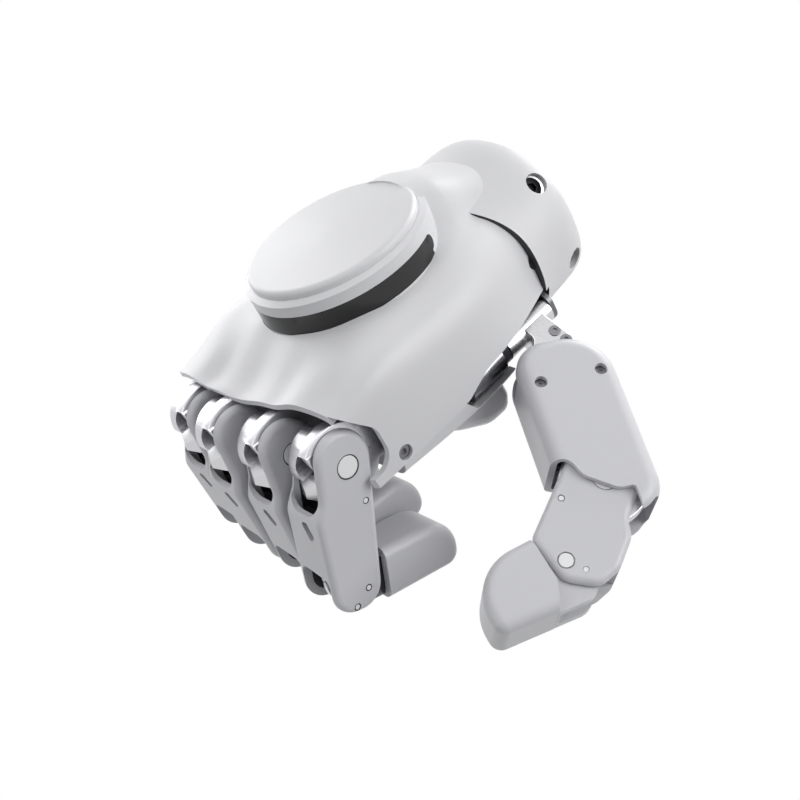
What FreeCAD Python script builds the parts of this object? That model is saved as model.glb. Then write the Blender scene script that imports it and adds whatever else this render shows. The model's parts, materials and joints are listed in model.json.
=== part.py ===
import FreeCAD, Part
import math
import os
import Sketcher
from FreeCAD import Placement, Rotation, Vector

# A right hand of an android or arm, lying in its own frame: +X runs from the wrist to the
# knuckles, +Y to the thumb side and +Z out of the back of the hand. The origin is the centre
# of the wrist end face. All sizes are in millimetres.

doc = FreeCAD.newDocument("dexterous_hand")
sheet = doc.addObject("Spreadsheet::Sheet", "Sizes")

DRIVING_SIZES = (
    ("wall", 2.0, "moulded wall of the casings"),
    ("seam", 0.3, "gap between neighbouring casings"),
    ("running", 0.05, "radial clearance of a turning pin"),
    ("cuff_half", 28.8, "half width of the wrist cuff"),
    ("cuff_crown", 25.4, "height of the cuff over the wrist axis"),
    ("cuff_sole", 25.0, "depth of the cuff under the wrist axis"),
    ("cuff_mouth", 21.5, "length of the cuff at its sides"),
    ("palm_half", 39.8, "half width of the palm"),
    ("palm_crown", 22.6, "height of the back of the hand"),
    ("palm_front", 106.0, "front lip of the back shell"),
    ("lip_crown", 14.4, "height of the front lip"),
    ("lip_wall", 1.4, "wall at the front lip"),
    ("side_edge", -12.3, "lower edge of the palm sides"),
    ("arch_edge", -8.0, "lower edge over the thumb"),
    ("arch_start", 55.0, "where the thumb arch begins"),
    ("sole_depth", 23.0, "underside of the palm cover"),
    ("pitch", 18.5, "spacing of the fingers"),
    ("finger_width", 17.0, "width over the two cheeks of a finger"),
    ("cheek_wall", 2.1, "thickness of a finger cheek"),
    ("hub_radius", 11.9, "ring of the knuckle behind the cheek"),
    ("drum_radius", 8.8, "bright drum of the knuckle"),
    ("hinge_radius", 2.0, "knuckle pin"),
    ("cap_radius", 3.1, "white cap of the knuckle pin"),
    ("tip_pin_radius", 1.5, "pin of the finger's middle joint"),
    ("phalanx", 35.9, "knuckle pin to middle joint pin"),
    ("tip_reach", 32.0, "middle joint pin to fingertip"),
    ("disc_centre", 58.1, "centre of the round cap on the back"),
    ("disc_radius", 28.0, "round base on the back"),
    ("puck_radius", 25.9, "round cap on the base"),
    ("disc_base_top", 30.0, "height of the base"),
    ("puck_top", 34.4, "height of the cap"),
    ("hump_half", 22.5, "half width of the swell behind the cap"),
    ("band_top", 26.7, "upper edge of the dark light band"),
    ("band_low", 20.6, "lower edge of the dark light band"),
    ("bolt_circle", 31.5, "bolt circle of the wrist flange"),
    ("bolt_hole", 2.65, "radius of a flange bolt hole"),
    ("cable_bore", 10.0, "radius of the cable bore"),
    ("flange_thick", 7.5, "thickness of the wrist flange"),
    ("cuff_screw", 3.2, "head radius of a cuff screw"),
    ("cuff_screw_x", 4.9, "cuff screws from the end face"),
    ("thumb_width", 22.0, "thickness of the thumb base casing"),
    ("thumb_length", 39.1, "thumb base pin to thumb knuckle pin"),
    ("thumb_phalanx", 25.4, "thumb knuckle pin to its end joint pin"),
    ("thumb_tip_reach", 24.6, "thumb end joint pin to its tip"),
    ("thumb_tilt", 34.8, "thumb plane turned down from level"),
)
for line, (alias, value, note) in enumerate(DRIVING_SIZES, start=1):
    sheet.set("A%d" % line, note)
    sheet.set("B%d" % line, str(value))
    sheet.setAlias("B%d" % line, alias)
doc.recompute()


def size(alias):
    return float(sheet.get(alias))


wall = size("wall")
seam = size("seam")
running = size("running")
pieces = {}

# The casing's hidden working gap between parts of one body that only touch.
touch = 0.02


def rounded_wire(corners, place):
    """A closed outline of straight runs whose corners (u, v, radius) are rounded."""
    edges = []
    entries = []
    count = len(corners)
    for index, (u, v, radius) in enumerate(corners):
        here = Vector(u, v, 0)
        before = Vector(corners[index - 1][0], corners[index - 1][1], 0) - here
        after = Vector(corners[(index + 1) % count][0], corners[(index + 1) % count][1], 0) - here
        before.normalize()
        after.normalize()
        if radius == 0:
            entries.append((here, None, here))
            continue
        half = before.getAngle(after) / 2
        inward = before + after
        inward.normalize()
        reach = radius / math.tan(half)
        centre = here + inward * (radius / math.sin(half))
        entries.append((here + before * reach, centre - inward * radius, here + after * reach))
    for index, (start, middle, end) in enumerate(entries):
        if middle is not None:
            edges.append(Part.Arc(place(start), place(middle), place(end)).toShape())
        following = entries[(index + 1) % count][0]
        if (following - end).Length > 1e-6:
            edges.append(Part.LineSegment(place(end), place(following)).toShape())
    return Part.Wire(edges)


def side_prism(corners, low, high):
    """An outline in X and Z, drawn out along Y from low to high."""
    wire = rounded_wire(corners, lambda p: Vector(p.x, low, p.y))
    return Part.Face(wire).extrude(Vector(0, high - low, 0))


def plan_prism(corners, low, high):
    """An outline in X and Y, drawn out along Z from low to high."""
    wire = rounded_wire(corners, lambda p: Vector(p.x, p.y, low))
    return Part.Face(wire).extrude(Vector(0, 0, high - low))


def front_prism(corners, low, high):
    """An outline in Y and Z, drawn out along X from low to high."""
    wire = rounded_wire(corners, lambda p: Vector(low, p.x, p.y))
    return Part.Face(wire).extrude(Vector(high - low, 0, 0))


def block(low, high):
    """A plain block between two corners."""
    spans = [high[k] - low[k] for k in range(3)]
    return Part.makeBox(spans[0], spans[1], spans[2], Vector(*low))


def rod(radius, start, end):
    """A round bar between two points."""
    run = Vector(*end) - Vector(*start)
    return Part.makeCylinder(radius, run.Length, Vector(*start), run)


def cross_rod(radius, x, z, low, high):
    """A round bar along Y, such as a hinge pin or its hole."""
    return rod(radius, (x, low, z), (x, high, z))


def radial_rod(radius, angle, x, inner, outer):
    """A round bar that points out from the wrist axis."""
    across = math.cos(math.radians(angle))
    up = math.sin(math.radians(angle))
    return rod(radius, (x, inner * across, inner * up), (x, outer * across, outer * up))


def softened(shape, radius, chosen):
    """The shape with its chosen edges rounded."""
    return shape.makeFillet(radius, [edge for edge in shape.Edges if chosen(edge)])


def on_side(edge, half):
    """True for an edge of the outline on either side face of a prism along Y."""
    box = edge.BoundBox
    return box.YLength < 0.01 and abs(abs(box.YMax) - half) < 0.01


def add_piece(label, shape, placement=None):
    """A sub-part of the document with its own label and placement."""
    feature = doc.addObject("Part::Feature", label)
    feature.Label = label
    feature.Shape = shape
    if placement is not None:
        feature.Placement = placement
    pieces[label] = feature
    return feature


def origin_plane(body, role):
    for feature in body.Origin.OriginFeatures:
        if feature.Role == role:
            return feature
    raise ValueError(role)


def superellipse(half, rise, power, angle):
    """A point of a boxy half oval, from +half at 0 over the top to -half at pi."""
    across = math.cos(angle)
    up = abs(math.sin(angle))
    stretch = (abs(across) ** power + up ** power) ** (1 / power)
    return half * across / stretch, rise * up / stretch


FINGERS = ("index", "middle", "ring", "little")
# Each finger's knuckle pin in X and Z, and its bend at rest in degrees.
KNUCKLE = {
    "index": (102.5, -2.7, 66.0),
    "middle": (106.7, -0.7, 79.0),
    "ring": (109.0, 1.0, 83.0),
    "little": (107.6, 0.2, 84.0),
}
half_width = size("finger_width") / 2


def finger_y(name):
    return (1.5 - FINGERS.index(name)) * size("pitch")


# The back shell: an arch over the palm, lofted through cross-sections, that runs into a cuff
# round the wrist. The cuff's mouth stands proud at the sides and fades out over the top.

ARCH_STEPS = 24
disc_y = 0.5
RING_STEPS = 24
arch_floor = -40.0
# Where each cross-section stands, as a share of the palm's length, with its share of the
# palm's half width, its share of the crown, how boxy it is, how far the swell behind the cap
# rises from it and the depth of the waves over the knuckles.
ARCH_SECTIONS = (
    (0.06, 0.650, 1.040, 2.3, 0.4, 0.0),
    (0.13, 0.705, 1.035, 2.3, 2.4, 0.0),
    (0.20, 0.775, 1.025, 2.4, 5.4, 0.0),
    (0.27, 0.842, 1.020, 2.6, 8.4, 0.0),
    (0.33, 0.895, 1.020, 2.8, 9.6, 0.0),
    (0.42, 0.955, 1.010, 3.0, 6.5, 0.0),
    (0.57, 0.992, 1.000, 3.3, 0.0, 0.0),
    (0.72, 1.000, 0.955, 4.4, 0.0, 0.05),
    (0.85, 1.000, 0.820, 5.6, 0.0, 0.25),
    (1.02, 1.005, None, 6.5, 0.0, 0.40),
)


def even_steps(count):
    """The same curve parameters for every cross-section, so that the loft stays smooth."""
    return [step / count for step in range(count + 1)]


def arch_section(x, half, crown, power, swell, wave):
    """One cross-section of the palm: a boxy arch on straight sides, with a flat-topped swell."""
    floor = arch_floor
    points = []
    for step in range(ARCH_STEPS + 1):
        y, rise = superellipse(half, crown, power, math.pi * step / ARCH_STEPS)
        flat = max(0.0, 1 - (y / half) ** 4)
        ripple = wave * flat * math.cos(2 * math.pi * (y / size("pitch") + 0.5))
        hump = swell * max(0.0, 1 - (y / size("hump_half")) ** 4) ** 2
        points.append(Vector(x, y, rise + ripple + hump))
    over = Part.BSplineCurve()
    over.interpolate(Points=points, Parameters=even_steps(ARCH_STEPS))
    low_right = Vector(x, half, floor)
    low_left = Vector(x, -half, floor)
    return Part.Wire([
        Part.LineSegment(low_right, points[0]).toShape(),
        over.toShape(),
        Part.LineSegment(points[-1], low_left).toShape(),
        Part.LineSegment(low_left, low_right).toShape(),
    ])


def palm_arch(inset, lip_inset):
    """The palm's solid arch, set in by the wall."""
    wires = []
    for share, width, crown_share, power, swell, wave in ARCH_SECTIONS:
        x = share * size("palm_front")
        step_in = inset if crown_share is not None else lip_inset
        crown = size("lip_crown") if crown_share is None else crown_share * size("palm_crown")
        half = width * size("palm_half")
        wires.append(arch_section(x, half - step_in, crown - step_in, power, swell, wave))
    return Part.makeLoft(wires, True, False, False, 3)


def cuff_loft(inset, start, end):
    """The cuff as a solid oval trumpet, set in by the wall."""
    flare = size("cuff_half") * 0.20
    wires = []
    for share, width, drop in ((0.0, -1.2, 0.7), (0.06, -0.1, 0.1), (0.35, 0.40, 0.3),
                               (0.70, 0.95, 1.1), (1.0, 1.20, 2.6)):
        x = start + share * (end - start)
        half = size("cuff_half") + (width if width < 0 else width * flare) - inset
        crown = size("cuff_crown") - drop - inset
        sole = size("cuff_sole") - inset
        points = []
        for step in range(RING_STEPS):
            angle = 2 * math.pi * step / RING_STEPS
            y, rise = superellipse(half, 1.0, 2.25, angle)
            height = crown if math.sin(angle) >= 0 else -sole
            points.append(Vector(x, y, rise * height))
        ring = Part.BSplineCurve()
        ring.interpolate(Points=points, PeriodicFlag=True, Parameters=even_steps(RING_STEPS))
        wires.append(Part.Wire([ring.toShape()]))
    return Part.makeLoft(wires, True, False)


def make_back_shell():
    front = size("palm_front")
    half = size("palm_half")
    mouth = size("cuff_mouth")
    # The lip of the palm seen from above: nearly straight, falling back towards the index.
    plan = plan_prism([
        (-1, -half - 15, 0),
        (front * 0.83, -half - 15, 0),
        (front - 0.6, -half * 0.95, 13),
        (front + 0.8, -half * 0.20, 90),
        (front - 6.2, half * 1.01, 13),
        (front * 0.80, half + 15, 0),
        (-1, half + 15, 0),
    ], -60, 60)
    outer = palm_arch(0, 0).common(plan)
    # The sides end in a straight lower edge that arches up over the thumb.
    edge = size("side_edge")
    arch = size("arch_edge")
    start = size("arch_start")
    under = side_prism([
        (-1, -60, 0),
        (-1, arch, 0),
        (start, arch - 1.0, 9),
        (start + 9, edge, 9),
        (front + 20, edge, 0),
        (front + 20, -60, 0),
    ], -60, 60)
    outer = outer.cut(under)
    # The mouth of the cuff from above: square at the sides and drawn forward over the back.
    mouth_plan = plan_prism([
        (-1, -60, 0),
        (mouth - 1.0, -60, 0),
        (mouth, -half * 0.80, 8),
        (mouth * 1.75, 0, 22),
        (mouth, half * 0.80, 8),
        (mouth - 1.0, 60, 0),
        (-1, 60, 0),
    ], -60, 60)
    cuff = cuff_loft(0, 0, mouth * 1.65).common(mouth_plan)
    cuff = cuff.cut(block((mouth - 1.5, -60, -60), (80, 60, arch - 1.0)))
    shell = outer.fuse(cuff)
    inner = palm_arch(wall, size("lip_wall")).common(block((mouth - 1.6, -60, -60), (200, 60, 60)))
    shell = shell.cut(inner)
    shell = shell.cut(cuff_loft(wall + 0.2, -0.01, mouth * 1.65))
    # The round base passes through the back from inside; the swell behind it meets the cap.
    middle = size("disc_centre")
    shoulder = size("disc_base_top") + touch
    wide = size("disc_radius") + 0.1
    narrow = size("puck_radius") + seam
    shell = shell.cut(rod(wide, (middle, disc_y, 12), (middle, disc_y, shoulder)))
    shell = shell.cut(Part.makeCone(wide, narrow, 0.95, Vector(middle, disc_y, shoulder)))
    shell = shell.cut(rod(narrow, (middle, disc_y, shoulder + 0.9), (middle, disc_y, 60)))
    # Four countersunk screws hold the cuff on the wrist flange.
    for angle in CUFF_SCREW_ANGLES:
        shell = shell.cut(radial_rod(size("cuff_screw") + 0.1, angle, size("cuff_screw_x"), 20, 40))
    # Room for the turning ends of the fingers under the lip.
    for name in FINGERS:
        x, z, bend = KNUCKLE[name]
        y = finger_y(name)
        shell = shell.cut(cross_rod(11.2, x, z, y - half_width - 0.35, y + half_width + 0.35))
        shell = shell.cut(cross_rod(size("hub_radius") + 0.15, x, z, y - 6.4, y + 4.5))
    # The side walls are notched round the outer knuckles.
    for name, low, high in (("index", half - 3.5, half + 9), ("little", -half - 9, -half + 3.5)):
        x, z, bend = KNUCKLE[name]
        shell = shell.cut(side_prism([(x - 10.8, z - 6.7, 5.5), (x - 10.8, z + 5.3, 6), (x - 1.5, z + 16.8, 0),
                                      (x + 30, z + 16.8, 0), (x + 30, z - 6.2, 0)], low, high))
    # Side screws near the front edge.
    for side in SIDE_SCREW_SIDES:
        shell = shell.cut(cross_rod(2.2, side_screw_x, SIDE_SCREW_Z, *sorted((side * (half - 3), side * (half + 3)))))
    return shell


CUFF_SCREW_ANGLES = (32.0, -22.0, 148.0, 202.0)
SIDE_SCREW_SIDES = (1, -1)
side_screw_x = 88.0
SIDE_SCREW_Z = -9.5
add_piece("back_shell", make_back_shell())


# The wrist flange inside the cuff: a turned disc with its bolt circle and cable bore.

def circle_sketch(body, name, plane, across, up, radius_expression, radius, place_expression):
    """A sketch of one circle whose radius and place follow the sheet."""
    sketch = body.newObject("Sketcher::SketchObject", name)
    sketch.AttachmentSupport = [(origin_plane(body, plane), "")]
    sketch.MapMode = "FlatFace"
    sketch.addGeometry(Part.Circle(Vector(across, up, 0), Vector(0, 0, 1), radius), False)
    sketch.addConstraint(Sketcher.Constraint("Radius", 0, radius))
    sketch.setExpression("Constraints[0]", radius_expression)
    sketch.addConstraint(Sketcher.Constraint("DistanceX", -1, 1, 0, 3, across))
    sketch.addConstraint(Sketcher.Constraint("DistanceY", -1, 1, 0, 3, up))
    if place_expression:
        sketch.setExpression("Constraints[1]", place_expression)
    return sketch


def make_wrist_flange():
    body = doc.addObject("PartDesign::Body", "wrist_flange")
    body.Label = "wrist_flange"
    rim = size("cuff_sole") - wall - 0.6
    outline = circle_sketch(body, "flange_rim", "YZ_Plane", 0, 0,
                            "(Sizes.cuff_sole - Sizes.wall - 0.6) * 1 mm", rim, None)
    disc = body.newObject("PartDesign::Pad", "flange_disc")
    disc.Profile = outline
    disc.setExpression("Length", "Sizes.flange_thick * 1 mm")
    doc.recompute()
    bore = circle_sketch(body, "cable_way", "YZ_Plane", 0, 0,
                         "Sizes.cable_bore * 1 mm", size("cable_bore"), None)
    opening = body.newObject("PartDesign::Pocket", "cable_opening")
    opening.Profile = bore
    opening.Type = "ThroughAll"
    opening.Reversed = True
    doc.recompute()
    bolt = circle_sketch(body, "bolt_place", "YZ_Plane", size("bolt_circle") / 2, 0,
                         "Sizes.bolt_hole * 1 mm", size("bolt_hole"), "Sizes.bolt_circle / 2 * 1 mm")
    hole = body.newObject("PartDesign::Pocket", "bolt_hole_first")
    hole.Profile = bolt
    hole.Type = "ThroughAll"
    hole.Reversed = True
    doc.recompute()
    ring = body.newObject("PartDesign::PolarPattern", "bolt_ring")
    ring.Originals = [hole]
    ring.Axis = (bolt, ["N_Axis"])
    ring.Angle = 360
    ring.Occurrences = BOLT_COUNT
    body.Tip = ring
    doc.recompute()
    pieces["wrist_flange"] = body


BOLT_COUNT = 4
make_wrist_flange()


def hexagon(across, x0, x1, place):
    """A six-sided socket between two depths, placed by a placement."""
    points = [Vector(x0, across * math.cos(math.pi * k / 3), across * math.sin(math.pi * k / 3)) for k in range(7)]
    socket = Part.Face(Part.makePolygon(points)).extrude(Vector(x1 - x0, 0, 0))
    socket.Placement = place
    return socket


def socket_screw(head_radius, head_height, shank_radius, shank_length):
    """A screw along X with the top of its head at 0 and its shank towards -X."""
    head = rod(head_radius, (-head_height, 0, 0), (0, 0, 0))
    head = softened(head, head_height * 0.12, lambda edge: edge.BoundBox.XMin > -0.01)
    if shank_length > 0:
        head = head.fuse(rod(shank_radius, (-head_height - shank_length, 0, 0), (-head_height, 0, 0)))
    return head.cut(hexagon(head_radius * 0.5, -head_height * 0.5, 1, Placement()))


def turned(shape, origin, direction):
    """A copy of a shape along X, moved to an origin and turned to a direction."""
    copy = shape.copy()
    copy.Placement = Placement(Vector(*origin), Rotation(Vector(1, 0, 0), Vector(*direction)))
    return copy


def make_cuff_screws():
    rim = size("cuff_sole") - wall - 0.6
    seat = size("cuff_half") - 3.4
    screws = []
    for angle in CUFF_SCREW_ANGLES:
        across = math.cos(math.radians(angle))
        up = math.sin(math.radians(angle))
        screw = socket_screw(size("cuff_screw"), 2.6, 1.5, seat - 2.6 - rim - touch)
        screws.append(turned(screw, (size("cuff_screw_x"), seat * across, seat * up), (0, across, up)))
    add_piece("cuff_screws", Part.makeCompound(screws))


make_cuff_screws()


# The round cap on the back: a base that stands in the shell and a softly edged cap on it.

disc_x = size("disc_centre")


def make_disc():
    low = 14.0
    base = doc.addObject("Part::Cylinder", "disc_base_drum")
    base.setExpression("Radius", "Sizes.disc_radius * 1 mm")
    base.setExpression("Height", "(Sizes.disc_base_top - %g) * 1 mm" % low)
    base.Placement = Placement(Vector(disc_x, disc_y, low), Rotation())
    bevel = doc.addObject("Part::Cone", "disc_base_bevel")
    bevel.setExpression("Radius1", "Sizes.disc_radius * 1 mm")
    bevel.setExpression("Radius2", "(Sizes.puck_radius + 0.3) * 1 mm")
    bevel.Height = 0.9
    bevel.Placement = Placement(Vector(disc_x, disc_y, size("disc_base_top")), Rotation())
    doc.recompute()
    drum = base.Shape.fuse(bevel.Shape).removeSplitter()
    hollow = size("disc_radius") - 2.6
    drum = drum.cut(rod(hollow, (disc_x, disc_y, low - 1), (disc_x, disc_y, size("disc_base_top") - 3)))
    # The dark band sits in a recess on the thumb side of the wall.
    drum = drum.cut(band_shape(0.0))
    add_piece("disc_base", drum)
    add_piece("light_band", band_shape(touch))
    doc.removeObject(bevel.Name)
    doc.removeObject(base.Name)

    body = doc.addObject("PartDesign::Body", "disc_cap")
    body.Label = "disc_cap"
    profile = body.newObject("Sketcher::SketchObject", "cap_profile")
    profile.AttachmentSupport = [(origin_plane(body, "XZ_Plane"), "")]
    profile.MapMode = "FlatFace"
    radius = size("puck_radius")
    top = size("puck_top")
    seat = size("disc_base_top") + 0.9 + touch
    corners = [Vector(0, seat, 0), Vector(radius, seat, 0), Vector(radius, top - 1.1, 0), Vector(0, top, 0)]
    for index in range(4):
        profile.addGeometry(Part.LineSegment(corners[index], corners[(index + 1) % 4]), False)
    for index in range(4):
        profile.addConstraint(Sketcher.Constraint("Coincident", index, 2, (index + 1) % 4, 1))
    profile.addConstraint(Sketcher.Constraint("Horizontal", 0))
    profile.addConstraint(Sketcher.Constraint("Vertical", 1))
    profile.addConstraint(Sketcher.Constraint("PointOnObject", 0, 1, -2))
    profile.addConstraint(Sketcher.Constraint("PointOnObject", 3, 1, -2))
    number = profile.addConstraint(Sketcher.Constraint("DistanceX", 0, 1, 0, 2, radius))
    profile.setExpression("Constraints[%d]" % number, "Sizes.puck_radius * 1 mm")
    number = profile.addConstraint(Sketcher.Constraint("DistanceY", -1, 1, 0, 1, seat))
    profile.setExpression("Constraints[%d]" % number, "(Sizes.disc_base_top + 0.92) * 1 mm")
    number = profile.addConstraint(Sketcher.Constraint("DistanceY", -1, 1, 2, 2, top))
    number = profile.addConstraint(Sketcher.Constraint("DistanceY", -1, 1, 1, 2, top - 1.1))
    spin = body.newObject("PartDesign::Revolution", "cap_turned")
    spin.Profile = profile
    spin.ReferenceAxis = (profile, ["V_Axis"])
    spin.Angle = 360
    doc.recompute()
    rims = ["Edge%d" % (k + 1) for k, edge in enumerate(spin.Shape.Edges)
            if edge.BoundBox.ZMin > seat + 0.5 and edge.BoundBox.ZLength < 0.01 and edge.BoundBox.XLength > radius]
    soft = body.newObject("PartDesign::Fillet", "cap_edge")
    soft.Base = (spin, rims)
    soft.Radius = 1.5
    body.Tip = soft
    body.Placement = Placement(Vector(disc_x, disc_y, 0), Rotation())
    doc.recompute()
    pieces["disc_cap"] = body


def band_shape(clearance):
    """The dark band: a curved window round the thumb side, pointed at its front end."""
    outer = size("disc_radius")
    low = size("band_low")
    high = size("band_top")
    ring = rod(outer + (0 if clearance else 1), (disc_x, disc_y, low), (disc_x, disc_y, high))
    ring = ring.cut(rod(outer - 1.2 + clearance, (disc_x, disc_y, low - 1), (disc_x, disc_y, high + 1)))
    reach = outer + 10
    front = math.radians(-20)
    rear = math.radians(118)
    points = [Vector(disc_x, disc_y, low - 2)]
    for share in (0, 0.25, 0.5, 0.75, 1):
        angle = front + share * (rear - front)
        points.append(Vector(disc_x + 2 * reach * math.cos(angle), disc_y + 2 * reach * math.sin(angle), low - 2))
    points.append(points[0])
    wedge = Part.Face(Part.makePolygon(points)).extrude(Vector(0, 0, 12))
    band = ring.common(wedge)
    # The round rear end.
    end = Vector(disc_x + outer * math.cos(rear), disc_y + outer * math.sin(rear), (22.2 + high) / 2)
    outward = Vector(math.cos(rear), math.sin(rear), 0)
    half = (high - 22.2) / 2
    nose = Part.makeCylinder(half, 6, end - outward * 3, outward)
    nose = nose.common(ring)
    return band.fuse(nose).removeSplitter()


make_disc()


# The frame inside the palm: a plate from the flange to the bar that carries the knuckles.

TIP_BEND = 92.0
bar_front = 88.8
bar_back = 83.0
shaft_y = 29.0
shaft_z = -15.0


def make_frame():
    start = size("flange_thick") + touch
    plate = block((start, -21, -6), (bar_back, 21, -2.5))
    wide = block((39, -33, -6), (bar_back, 33, -2.5))
    bar = block((bar_back, -36.5, -11), (bar_front, 36.5, 8.5))
    frame = plate.fuse(wide).fuse(bar)
    rear = front_prism([(-19, -14, 4), (-19, 8, 4), (19, 8, 4), (19, -14, 4)], start, start + 4)
    cable_way = rod(size("cable_bore") + 0.6, (0, 0, 0), (start + 5, 0, 0))
    frame = frame.fuse(rear)
    # Two walls carry the thumb's turning shaft.
    for low, high in ((21.8, 23.3), (42.0, 45.0)):
        ear = front_prism([(shaft_y - 9, -5, 0), (shaft_y - 5, -5, 2), (shaft_y + 3.8, -11.2, 3),
                           (shaft_y + 3.8, shaft_z - 4.2, 3.6), (shaft_y - 5, shaft_z - 4.2, 3.9),
                           (shaft_y - 11, -5, 0)], low, high)
        ear = ear.cut(block((low - 1, shaft_y - 20, -6), (high + 1, 20.9, 0)))
        frame = frame.fuse(ear)
        frame = frame.fuse(block((low, 10, -9), (high, shaft_y - 5, -6)))
    frame = frame.cut(rod(2.5 + running, (0, shaft_y, shaft_z), (60, shaft_y, shaft_z)))
    frame = frame.cut(cable_way)
    # Posts under the round base of the cap.
    for x in (disc_x - 18, disc_x + 18):
        frame = frame.fuse(rod(3.0, (x, 0, -3), (x, 0, size("disc_base_top") - 3 - touch)))
    add_piece("palm_frame", frame.removeSplitter())


make_frame()


def make_motors():
    motors = []
    for name in FINGERS:
        y = finger_y(name)
        can = rod(6.4, (46, y, 4.2), (70, y, 4.2))
        gear = rod(5.6, (70, y, 4.2), (bar_back - touch, y, 4.2))
        motors.append(can.fuse(gear))
    add_piece("finger_motors", Part.makeCompound(motors))
    can = rod(5.2, (45 + touch, shaft_y, shaft_z), (59, shaft_y, shaft_z))
    add_piece("thumb_motor", can)
    board = block((14, -17, 9.0), (36.4, 17, 10.6))
    pegs = [block((20, side - 1.5, -2.5), (23, side + 1.5, 9)) for side in (-12, 12)]
    add_piece("board_pegs", Part.makeCompound(pegs))
    add_piece("control_board", board)
    plug = front_prism([(-7, -3.5, 1), (7, -3.5, 1), (7, 3.5, 1), (-7, 3.5, 1)], 14, 20)
    plug.translate(Vector(0, 0, 12.6 + 1.5))
    add_piece("wrist_connector", plug)


make_motors()


# The palm cover: a shallow tray under the hand, cut away over the thumb's shaft, and the
# soft pad on its front.

def tray(inset, top):
    depth = size("sole_depth") - inset
    half = size("palm_half") - 3.6 - inset
    wires = []
    for x, width, drop in ((20.3, 0.735, 1.3), (30, 0.86, 0.3), (60, 0.985, 0.0), (88.5 - inset * 0.8, 1.0, 2.6)):
        reach = half * width
        wires.append(rounded_wire([(-reach, top, 0), (-reach, -depth + drop, 7 - inset * 0.7),
                                   (reach, -depth + drop, 7 - inset * 0.7), (reach, top, 0)],
                                  lambda p, x=x: Vector(x, p.x, p.y)))
    return Part.makeLoft(wires, True, False)


def make_palm_cover():
    cover = tray(0, size("side_edge") + 0.7)
    cover = cover.cut(tray(1.8, -10.0).common(block((22.3, -60, -60), (86, 60, 0))))
    # The thumb side is low along the shaft, and open where the thumb's arm swings.
    gap = side_prism([(10, -20.4, 0), (60, -20.4, 3), (66, -11, 3), (66, 0, 0), (10, 0, 0)], 16, 60)
    cover = cover.cut(gap).cut(plan_prism([(10, 16.5, 0), (42.0, 16.5, 4), (44.0, 60, 0), (10, 60, 0)], -60, 0))
    # The screw pillars under the frame plate.
    for x, y in ((34, -14), (72, -14), (34, 6), (72, 14)):
        cover = cover.fuse(rod(2.6, (x, y, -size("sole_depth") + 1.0), (x, y, -6 - touch)))
    add_piece("palm_cover", cover)
    # The pad is a soft cushion glued under the front half of the cover.
    depth = size("sole_depth")
    pad = plan_prism([(58, -26, 9), (58, 24, 9), (86, 27, 9), (86, -28, 9)], -depth - 1.3, -18)
    pad = softened(pad, 1.2, lambda edge: edge.BoundBox.ZMax < -depth - 1.2)
    ball = side_prism([(47, -17, 0), (46.4, -27, 4), (48.6, -31.6, 4), (56.5, -31.2, 9), (69, -23.6, 16),
                       (72, -17, 0)], 4, 31.5)
    ball = softened(ball, 3.4, lambda edge: edge.BoundBox.YLength < 0.01 and edge.BoundBox.ZMin < -22)
    add_piece("palm_pad", pad.fuse(ball).cut(tray(-touch, -10)))


make_palm_cover()


# One finger module, in its own frame: the knuckle pin is the origin, +X runs to the tip, +Z is
# the back of the finger and +Y the thumb side.

cheek = size("cheek_wall")
inside = half_width - cheek - 0.25
PROXIMAL_OUTLINE = (
    (-10.3, 9.0, 7.4), (-10.3, -8.0, 9.2), (42.1, -6.4, 7.0),
    (42.1, 8.2, 7.2), (13.0, 10.8, 6.0), (8.0, 9.0, 6.0),
)
LINK_PIN = (40.1, 2.5)
SIDE_PIN = (11.05, -4.2)


def knuckle_shape(back, low_cut):
    """The knuckle: a bright drum with a rounded hub on a heel that runs back to the bar."""
    drum = cross_rod(size("drum_radius"), 0, 0, -inside, inside)
    ring = cross_rod(size("hub_radius"), 0, 0, -inside, 4.2)
    ring = softened(ring, 2.6, lambda edge: edge.BoundBox.YMax < -inside + 0.1)
    ring = softened(ring, 0.8, lambda edge: edge.BoundBox.YMin > 4.1)
    heel = block((-back, -inside, -6.5), (-2, inside, 5.8))
    body = drum.fuse(ring).fuse(heel)
    # The bite that shows the stop, open to the thumb side, with a rounded inner corner.
    body = body.cut(front_prism([(-1.4, -14, 0), (-1.4, 7.1, 3.0), (8, 7.1, 0), (8, -14, 0)], 2.4, 16))
    body = body.cut(side_prism(low_cut, -20, 20))
    # The seat of the small screw on top.
    lean = Vector(*SCREW_LEAN)
    body = body.cut(rod(1.6, tuple(Vector(0, -1, 0) + lean * 7.5), tuple(Vector(0, -1, 0) + lean * 20)))
    return body.cut(cross_rod(size("hinge_radius") + running, 0, 0, -20, 20))


SCREW_LEAN = (-0.5227, 0, 0.8525)
KNUCKLE_LOW_CUT = ((1.5, -20, 0), (1.5, -3.4, 1.5), (16, -2.2, 0), (16, -20, 0))


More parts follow.
